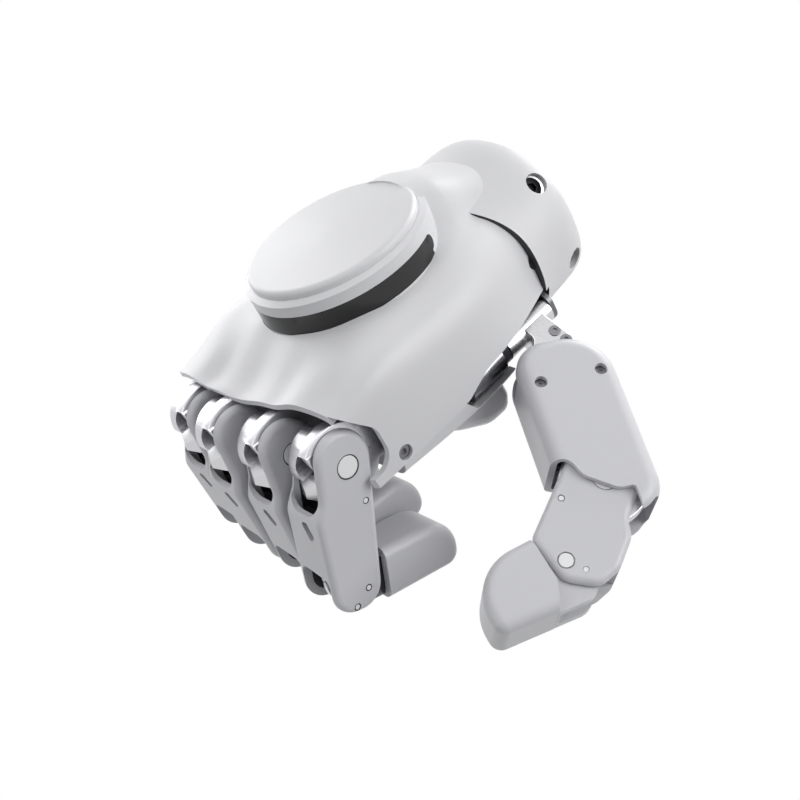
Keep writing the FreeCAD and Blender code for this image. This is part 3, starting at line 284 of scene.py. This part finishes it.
def combine(piece, other, operation="DIFFERENCE"):
    """Cuts another shape from a piece, or fuses it on, and puts the other away."""
    use_tool(piece, "BOOLEAN", {"operation": operation, "object": other, "solver": "EXACT"})
    put_away(other)
    return piece


def ease(piece, width, steps=3, angle=35):
    """Rounds every edge that is sharper than the angle."""
    settings = {"width": width * MM, "segments": steps, "limit_method": "ANGLE",
                "angle_limit": math.radians(angle), "use_clamp_overlap": True}
    return use_tool(piece, "BEVEL", settings)


def pick_edges(piece, test, along=None):
    """In edit mode, selects the edges whose two ends pass the test (mm) and that run along an axis."""
    pick_up(piece)
    bpy.ops.object.mode_set(mode="EDIT")
    bpy.ops.mesh.select_mode(type="EDGE")
    bpy.ops.mesh.select_all(action="DESELECT")
    shape = bmesh.from_edit_mesh(piece.data)
    for edge in shape.edges:
        run = (edge.verts[1].co - edge.verts[0].co).normalized()
        ends_pass = all(test(*(c / MM for c in end.co)) for end in edge.verts)
        edge.select = ends_pass and (along is None or abs(run[along]) > 0.9)
    shape.select_flush_mode()
    bmesh.update_edit_mesh(piece.data)


def round_edges(piece, test, width, steps=5, along=None):
    """Rounds only the edges whose two ends pass the test."""
    pick_edges(piece, test, along)
    bpy.ops.mesh.bevel(offset=width * MM, segments=steps, affect="EDGES")
    settle()
    return piece


def slice_off(piece, place, normal):
    """Cuts away all that lies beyond a plane and closes the cut."""
    pick_up(piece)
    bpy.ops.object.mode_set(mode="EDIT")
    bpy.ops.mesh.select_all(action="SELECT")
    bpy.ops.mesh.bisect(plane_co=[c * MM for c in place], plane_no=normal, use_fill=True, clear_outer=True)
    settle()
    return piece


def dress(piece, name, material, body, replaces=()):
    """Names a piece, gives it its material and says what it rides on and stands for."""
    piece.name = name
    piece.data.name = name
    piece.data.materials.clear()
    piece.data.materials.append(material)
    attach(piece, body)
    if replaces:
        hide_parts(*replaces)


def finish_piece(piece, name, material, body, angle=35, replaces=()):
    """Shades a modelled piece smooth up to an angle and dresses it."""
    pick_up(piece)
    bpy.ops.object.shade_smooth_by_angle(angle=math.radians(angle))
    dress(piece, name, material, body, replaces)
    settle()


def copy_to(piece, place):
    """A copy with its own mesh, whose points are moved by a matrix."""
    twin = bpy.data.objects.new(piece.name, piece.data.copy())
    bpy.context.scene.collection.objects.link(twin)
    twin.data.transform(place)
    return twin


def loose_copy(node, place):
    """A copy of a CAD node's mesh, moved by a matrix. Unmerged, it keeps its own smooth normals."""
    twin = copy_to(nodes[node], place)
    twin.name = node + "_copy"
    return twin


def smooth_step(value):
    """Nought to one along a soft S, flat at both ends."""
    value = min(1.0, max(0.0, value))
    return value * value * (3 - 2 * value)


# Every length below is in mm from the knuckle pin of a straight finger: x to the fingertip,
# y to the thumb's side, z to the back of the hand.

# Each finger's knuckle pin, and its bend at rest, which is as far as the finger can open.
FINGERS = {}
for joint in frame["record"]["behaviour"]["joints"]:
    owner, _, kind = joint["name"].partition("_")
    if kind == "knuckle_joint" and owner != "thumb":
        FINGERS[owner] = (Vector(joint["pos_m"]), math.radians(-joint["range_deg"][0]))
FIRST_PIN = FINGERS["index"][0]
# The middle joint on the first casing, and the bend of a fingertip there at rest.
JOINT_X, JOINT_Z = 35.9, -1.7
TIP_BEND = math.radians(92.0)
# Longer than any piece of a knuckle, for cutters that run right through.
BEYOND = 20.0
PIN_HOLE = 2.15
# Half the room between the two cheeks of a casing, less a running clearance.
HALF_ROOM = 6.1


def pin_place(name):
    """The place of a finger's knuckle pin, unturned."""
    return Matrix.Translation(FINGERS[name][0])


def bent(name):
    """The place of a finger's first casing, bent at its knuckle."""
    return pin_place(name) @ Matrix.Rotation(FINGERS[name][1], 4, "Y")


def bent_tip(name):
    """The place of a fingertip, bent at its middle joint as well."""
    joint_place = Matrix.Translation(Vector((JOINT_X, 0, JOINT_Z)) * MM)
    return bent(name) @ joint_place @ Matrix.Rotation(TIP_BEND, 4, "Y")


def pin_bore():
    """The cutter of the hole that a knuckle pin runs in."""
    return cross_bar(PIN_HOLE, -BEYOND, BEYOND)


# The knuckle: a bright hook, open to the thumb side, and the ring that the cheek turns on.
DRUM_RADIUS, DRUM_END, DRUM_ROUND = 9.4, 1.6, 1.1
CORE_RADIUS, CORE_START, CORE_END = 8.0, 1.0, 2.6
RING_RADIUS, RING_START, RING_ROUND = 11.9, 2.1, 0.5
BITE_RADIUS, BITE_START, BITE_SIDE, BITE_HEIGHT = 5.0, 2.4, 3.2, 4.0
MOUTH_LOW, MOUTH_TOP, MOUTH_SIDE = -14.0, 9.0, 9.0
HOOK_END, HOOK_FLOOR = 1.5, 0.4
HEEL_BOX = ((-13.6, -HALF_ROOM, -6.5), (-2.0, HALF_ROOM, 5.8))
HEEL_BACK = -12.0

hook = cross_bar(DRUM_RADIUS, -HALF_ROOM, DRUM_END)
round_edges(hook, lambda x, y, z: y < -HALF_ROOM + 0.1, DRUM_ROUND)
hook = combine(hook, cross_bar(CORE_RADIUS, CORE_START, CORE_END), "UNION")
ring_part = cross_bar(RING_RADIUS, RING_START, HALF_ROOM)
round_edges(ring_part, lambda x, y, z: y < RING_START + 0.1, RING_ROUND, 3)
round_edges(ring_part, lambda x, y, z: y > HALF_ROOM - 0.1, RING_ROUND, 3)
hook = combine(hook, ring_part, "UNION")
# The bite is a bar turned to run along the finger, with the open mouth beside it.
bite = cross_bar(BITE_RADIUS, BITE_START, BEYOND, BITE_SIDE, BITE_HEIGHT, 64)
bite.data.transform(Matrix((
    (0, 1, 0, 0),
    (1, 0, 0, 0),
    (0, 0, -1, 2 * BITE_HEIGHT * MM),
    (0, 0, 0, 1),
)))
mouth = brick((BITE_START, BITE_SIDE, MOUTH_LOW), (BEYOND, MOUTH_SIDE, MOUTH_TOP))
bite = combine(bite, mouth, "UNION")
hook = combine(hook, bite)
hook = combine(hook, brick((HOOK_END, -BEYOND, -BEYOND), (BEYOND, BEYOND, HOOK_FLOOR)))
hook = combine(hook, brick(*HEEL_BOX), "UNION")
hook = combine(hook, pin_bore())
ease(hook, 0.5, 3)

# The stop: a wedge-shaped tooth in the hook's mouth, and a faceted block under it.
TOOTH_BOX = ((2.2, 0.4, 4.0), (7.2, 5.2, 7.7))
TOOTH_POINT = (0.75, 1.0, 0.42)
BLOCK_BOX = ((1.8, -5.9, -6.4), (12.0, 5.2, -0.4))
STEM_BOX = ((-1.5, 1.0, -3.0), (2.7, 4.4, 6.8))
# The block's facets, each as a point on it and the way that it faces.
BLOCK_NOSE = (10.3, -1.2, -3.6)
FACETS = (
    ((6.2, 0, -0.4), (0.60, 0, 0.80)),
    (BLOCK_NOSE, (0.89, -0.34, 0.30)),
    (BLOCK_NOSE, (0.90, 0.38, 0.20)),
    ((10.9, 0, -5.4), (0.50, 0, -0.87)),
)

tooth = brick(*TOOTH_BOX)
pick_edges(tooth, lambda x, y, z: y < TOOTH_BOX[0][1] + 0.1)
bpy.ops.transform.resize(value=TOOTH_POINT)
settle()
ease(tooth, 0.25, 2)
block = brick(*BLOCK_BOX)
for place, facing in FACETS:
    slice_off(block, place, facing)
block = combine(block, pin_bore())
ease(block, 0.22, 2, 20)
stop = combine(block, tooth, "UNION")
stop = combine(stop, brick(*STEM_BOX), "UNION")
stop = combine(stop, pin_bore())

for name, (pin, _) in FINGERS.items():
    body_hook = copy_to(hook, Matrix.Identity(4))
    # The knuckles stand on one straight bar, so the heel of each reaches back to it.
    for corner in body_hook.data.vertices:
        if corner.co.x < HEEL_BACK * MM:
            corner.co.x -= pin.x - FIRST_PIN.x
    body_hook.data.transform(pin_place(name))
    finish_piece(body_hook, name + "_hook", knuckle_bright, "palm", 40, (name + "_knuckle",))
    finish_piece(copy_to(stop, pin_place(name)), name + "_tooth_stop", stop_silver, "palm", 25,
                 (name + "_stop",))
put_away(hook, stop)

# Black liners inside each finger casing, painted shade: the inside that the windows and the slot look in on
# is drawn dark as shade.
SHADE_LINER_BOX = ((-7.5, 6.28, -6.2), (40.0, 6.37, 6.4))
SHADE_LINER_ROUND = 5.0
SHADE_TRAY_BOX = ((12.8, -6.3, 6.15), (29.0, 6.3, 6.35))
SHADE_TRAY_ROUND = 2.5
ALONG_Y, ALONG_Z = 1, 2

shade_liner = brick(*SHADE_LINER_BOX)
round_edges(shade_liner, lambda x, y, z: not -6.75 < x < 39.25, SHADE_LINER_ROUND, 6, ALONG_Y)
other_side = copy_to(shade_liner, Matrix.Scale(-1, 4, (0, 1, 0)))
pick_up(other_side)
bpy.ops.object.mode_set(mode="EDIT")
bpy.ops.mesh.select_all(action="SELECT")
bpy.ops.mesh.flip_normals()
settle()
shade_tray = brick(*SHADE_TRAY_BOX)
round_edges(shade_tray, lambda x, y, z: abs(y) > 6.2 and x < 13, SHADE_TRAY_ROUND, 5, ALONG_Z)
shade_liner = combine(shade_liner, other_side, "UNION")
shade_liner = combine(shade_liner, shade_tray, "UNION")
for name in FINGERS:
    finish_piece(copy_to(shade_liner, bent(name)), name + "_painted_shade_liner", black_nylon_and_painted_shade, name + "_finger")
put_away(shade_liner)

# The first casing of every finger: the far cheek steps in behind the hook, and the slot is wide.
CHEEK_INNER = -6.3
CHEEK_SQUEEZE, SQUEEZE_END = 0.70, 11.0
# The cheek stays as it is round the pin's cap.
PIN_SEAT = 3.6
ROOF_LEVEL = 5.0
SLOT_MIDDLE = Vector((16.7, 1.65)) * MM
SLOT_ACROSS = Vector((-0.573, 0.819))
SLOT_REACH, SLOT_WIDEN = 2.75, 0.45
SLOT_STRETCH = Vector((1.05, 1.0))

casing = loose_copy("index_proximal", bent("index").inverted())
for corner in casing.data.vertices:
    place = corner.co
    if place.y < CHEEK_INNER * MM and place.x < SQUEEZE_END * MM:
        squeeze = CHEEK_SQUEEZE + (1 - CHEEK_SQUEEZE) * smooth_step(place.x / (SQUEEZE_END * MM))
        if math.hypot(place.x, place.z) > PIN_SEAT * MM:
            place.x *= squeeze if place.x < 0 else 1.0
            place.z *= squeeze
    off = place.xy - SLOT_MIDDLE
    if off.length < SLOT_REACH * MM and place.z > ROOF_LEVEL * MM:
        side = 1 if SLOT_ACROSS.dot(off) > 0 else -1
        place.xy = SLOT_MIDDLE + off * SLOT_STRETCH + SLOT_ACROSS * side * SLOT_WIDEN * MM
# Each casing is dressed in the fingers' grey, painted a tone deeper as shade.
for name in FINGERS:
    dress(copy_to(casing, bent(name)), name + "_casing", finger_grey_painted_shade, name + "_finger",
          (name + "_proximal",))
put_away(casing)

# Black rings under the pin caps, painted shade in the gaps round them, and the bushing round the middle
# joint's small pin, in the fingers' grey painted a tone deeper as shade.
SHADE_RING_FLOOR, SHADE_RING_FACE, SHADE_RING_RADIUS = 8.0, 8.3, 3.44
# Radius, x, z and face of the painted shade rings at the middle joint, the link's pin and the side pin.
SMALL_SHADE_RINGS = (
    (1.04, JOINT_X, JOINT_Z, 8.47),
    (1.09, 40.1, 2.5, SHADE_RING_FACE),
    (0.99, 11.05, -4.2, SHADE_RING_FACE),
)
BUSHING_RADIUS, BUSHING_BORE, BUSHING_FLOOR, BUSHING_FACE = 1.86, 1.05, 8.05, 8.48
SMALL_CAP_RADIUS, SMALL_CAP_FLOOR, SMALL_CAP_FACE = 0.68, 8.1, 8.495


def both_sides(radius, floor, face, x, z, sides):
    """A short round bar in the same place on both cheeks."""
    near = cross_bar(radius, floor, face, x, z, sides)
    return combine(near, cross_bar(radius, -face, -floor, x, z, sides), "UNION")


shade_rings = both_sides(SHADE_RING_RADIUS, SHADE_RING_FLOOR, SHADE_RING_FACE, 0, 0, 48)
for radius, x, z, face in SMALL_SHADE_RINGS:
    shade_rings = combine(shade_rings, both_sides(radius, SHADE_RING_FLOOR, face, x, z, 48), "UNION")
bushing = cross_bar(BUSHING_RADIUS, BUSHING_FLOOR, BUSHING_FACE, JOINT_X, JOINT_Z, 64)
bushing = combine(bushing, cross_bar(BUSHING_BORE, BUSHING_FLOOR - 1, BUSHING_FACE + 1, JOINT_X, JOINT_Z, 64))
small_cap = both_sides(SMALL_CAP_RADIUS, SMALL_CAP_FLOOR, SMALL_CAP_FACE, JOINT_X, JOINT_Z, 32)
for name in FINGERS:
    finger = name + "_finger"
    finish_piece(copy_to(shade_rings, bent(name)), name + "_painted_shade_rings", black_nylon_and_painted_shade, finger)
    finish_piece(copy_to(bushing, bent(name)), name + "_bushing", finger_grey_painted_shade, finger)
    finish_piece(copy_to(small_cap, bent(name)), name + "_small_cap", pin_white, finger)
put_away(shade_rings, bushing, small_cap)

# The base of each fingertip (mm from the middle joint, x along the straight tip): a dark
# polished block rounded about the joint, with two bright straps.
BASE_BOX = ((-6.4, -5.8, -6.0), (9.5, 5.8, 7.0))
BASE_NOSE, BASE_SIDES = 5.6, 2.2
NECK_BOX = ((8.6, -4.6, -3.8), (23.0, 4.6, 2.8))
TIP_BORE = 1.25
STRAP_OUTER, STRAP_INNER, STRAP_END = 7.1, 5.0, 1.0
STRAP_SIDES = ((-3.2, -2.1), (0.6, 1.7))

base = brick(*BASE_BOX)
round_edges(base, lambda x, y, z: x < BASE_BOX[0][0] + 0.1, BASE_NOSE, 8)
round_edges(base, lambda x, y, z: abs(y) > 5.7 and x > -1, BASE_SIDES, 5)
base = combine(base, brick(*NECK_BOX), "UNION")
base = combine(base, cross_bar(TIP_BORE, -BEYOND, BEYOND))
first_strap, second_strap = [cross_bar(STRAP_OUTER, low, high) for low, high in STRAP_SIDES]
strap = combine(first_strap, second_strap, "UNION")
strap = combine(strap, cross_bar(STRAP_INNER, -BEYOND, BEYOND))
strap = combine(strap, brick((STRAP_END, -BEYOND, -BEYOND), (BEYOND, BEYOND, BEYOND)))
ease(strap, 0.2, 2)
for name in FINGERS:
    tip = name + "_tip"
    finish_piece(copy_to(base, bent_tip(name)), name + "_tip_base", tip_dark, tip, 35,
                 (name + "_tip_frame",))
    finish_piece(copy_to(strap, bent_tip(name)), name + "_tip_straps", link_steel, tip)
put_away(base, strap)

# The back shell (mm in the hand's own frame): drawn up round the rear of the cap until the
# swell meets its side.
CAP_MIDDLE = Vector((58.1, 0.5))
SHELL_TOP = 12.0
SWELL_LIFT, SWELL_FROM, SWELL_FADE = 1.5, 26.0, 15.0
RIM_INWARD, RIM_RADIUS, RIM_FADE = 2.1, 28.0, 5.0
# How far round toward the front the swell starts, and over how much of the turn it grows.
REAR_START, REAR_SPAN = 0.25, 0.9

shell = loose_copy("back_shell", Matrix.Identity(4))
for corner in shell.data.vertices:
    if corner.co.z < SHELL_TOP * MM:
        continue
    off = corner.co.xy / MM - CAP_MIDDLE
    rear = smooth_step((REAR_START - off.x / max(off.length, 1)) / REAR_SPAN)
    near = 1 - smooth_step((off.length - SWELL_FROM) / SWELL_FADE)
    corner.co.z += SWELL_LIFT * rear * near * MM
    # The rim closes in over the base of the cap, up to the cap's side.
    inward = RIM_INWARD * rear * (1 - smooth_step((off.length - RIM_RADIUS) / RIM_FADE))
    corner.co.xy -= off.normalized() * inward * MM
dress(shell, "back_shell_swell", shell_grey, "palm", ("back_shell",))

# A black strip lies on the step under the cuff's lip: painted shadow, the dark line that runs round under the
# lip.
STEP_START, STEP_END, STEP_RADIUS = 18.0, 34.0, 22.0
STEP_FACING = 0.6
SHADOW_STRIP_THICKNESS = 0.16

shadow_strip = loose_copy("back_shell", Matrix.Identity(4))
pick_up(shadow_strip)
bpy.ops.object.mode_set(mode="EDIT")
bpy.ops.mesh.select_mode(type="FACE")
bpy.ops.mesh.select_all(action="DESELECT")
shape = bmesh.from_edit_mesh(shadow_strip.data)
for face in shape.faces:
    middle = face.calc_center_median() / MM
    in_reach = STEP_START < middle.x < STEP_END and math.hypot(middle.y, middle.z) > STEP_RADIUS
    face.select = not (in_reach and face.normal.x > STEP_FACING)
bmesh.update_edit_mesh(shadow_strip.data)
bpy.ops.mesh.delete(type="FACE")
settle()
use_tool(shadow_strip, "SOLIDIFY", {"thickness": SHADOW_STRIP_THICKNESS * MM, "offset": 0.5})
finish_piece(shadow_strip, "cuff_painted_shadow_strip", black_nylon_and_painted_shade, "palm")


# The studio: a white sweep that the camera sees as plain white, and large soft lights.

FLOOR_LEVEL, FLOOR_SIDE = -0.085, 6
ROOM_LIGHT = 0.18
# The point that the lights face, then each light's name, place, side (m) and power (W).
HAND = (0.06, 0.01, 0.0)
SOFTBOXES = (
    ("top_softbox", (0.05, 0.0, 0.8), 0.7, 2.2),
    ("left_softbox", (0.05, -0.7, 0.3), 0.6, 3.0),
    ("side_softbox", (-0.35, 0.7, 0.15), 0.5, 3.7),
    ("rear_softbox", (-0.7, -0.1, 0.1), 0.5, 3.5),
    ("front_softbox", (0.7, 0.0, 0.5), 0.5, 1.2),
)


def soft_light(name, place, side, power):
    """A square softbox that faces the hand."""
    lamp = bpy.data.lights.new(name, "AREA")
    lamp.shape = "SQUARE"
    lamp.size = side
    lamp.energy = power
    holder = bpy.data.objects.new(name, lamp)
    holder.location = place
    holder.rotation_mode = "QUATERNION"
    holder.rotation_quaternion = (Vector(HAND) - Vector(place)).to_track_quat("-Z", "Y")
    bpy.context.scene.collection.objects.link(holder)


def seen_directly(tree):
    """One where the lens, a mirror surface or a clear piece sees the surface, nought elsewhere."""
    path = add_node(tree, "ShaderNodeLightPath").outputs
    through = add_node(
        tree, "ShaderNodeMath", {"operation": "MAXIMUM"},
        {0: path["Is Camera Ray"], 1: path["Is Transmission Ray"]})
    seen = add_node(
        tree, "ShaderNodeMath", {"operation": "MAXIMUM"}, {0: through.outputs[0], 1: path["Is Glossy Ray"]})
    return seen.outputs[0]


def studio_white():
    """The sweep: plain white to the lens and to mirrors, and a pale matt bounce to everything else."""
    material = bpy.data.materials.new("matt_painted_studio_sweep")
    material.use_nodes = True
    tree = material.node_tree
    tree.nodes.clear()
    glow = add_node(tree, "ShaderNodeEmission", {"Color": (1, 1, 1, 1), "Strength": 1.0})
    paint = add_node(tree, "ShaderNodeBsdfDiffuse", {"Color": linear("#B8B8BA")})
    mix = add_node(
        tree, "ShaderNodeMixShader", None,
        {0: seen_directly(tree), 1: paint.outputs[0], 2: glow.outputs[0]})
    add_node(tree, "ShaderNodeOutputMaterial", None, {"Surface": mix.outputs[0]})
    return material


bpy.ops.object.select_all(action="DESELECT")
bpy.ops.mesh.primitive_plane_add(size=FLOOR_SIDE, location=(0, 0, FLOOR_LEVEL))
floor = bpy.context.object
floor.name = "studio_floor"
bpy.ops.object.transform_apply(location=True, rotation=True, scale=True)
floor.data.materials.append(studio_white())

world = bpy.data.worlds.new("studio")
bpy.context.scene.world = world
world.use_nodes = True
sky = world.node_tree
sky.nodes.clear()
room = add_node(sky, "ShaderNodeBackground", {"Color": linear("#F4F6FA"), "Strength": ROOM_LIGHT})
white = add_node(sky, "ShaderNodeBackground", {"Color": (1, 1, 1, 1), "Strength": 1.0})
pick = add_node(
    sky, "ShaderNodeMixShader", None, {0: seen_directly(sky), 1: room.outputs[0], 2: white.outputs[0]})
add_node(sky, "ShaderNodeOutputWorld", None, {"Surface": pick.outputs[0]})

for softbox in SOFTBOXES:
    soft_light(*softbox)

# The camera stands where the photograph was taken from. The columns are its right, up and
# backward axes and its place, fitted to the photograph.
CAMERA_PLACE = Matrix((
    (-0.68149, -0.64351, 0.34852, 0.19211),
    (0.60220, -0.22249, 0.76672, 0.28190),
    (-0.41585, 0.73239, 0.53914, 0.17416),
    (0, 0, 0, 1),
))
FOCAL_LENGTH, SENSOR_WIDTH = 55.28, 36

lens = bpy.data.cameras.new("photo_camera")
lens.lens = FOCAL_LENGTH
lens.sensor_width = SENSOR_WIDTH
lens.clip_start = 0.01
shot = bpy.data.objects.new("photo_camera", lens)
shot.matrix_world = CAMERA_PLACE
bpy.context.scene.collection.objects.link(shot)
bpy.context.scene.camera = shot
bpy.context.scene.view_settings.view_transform = "Standard"
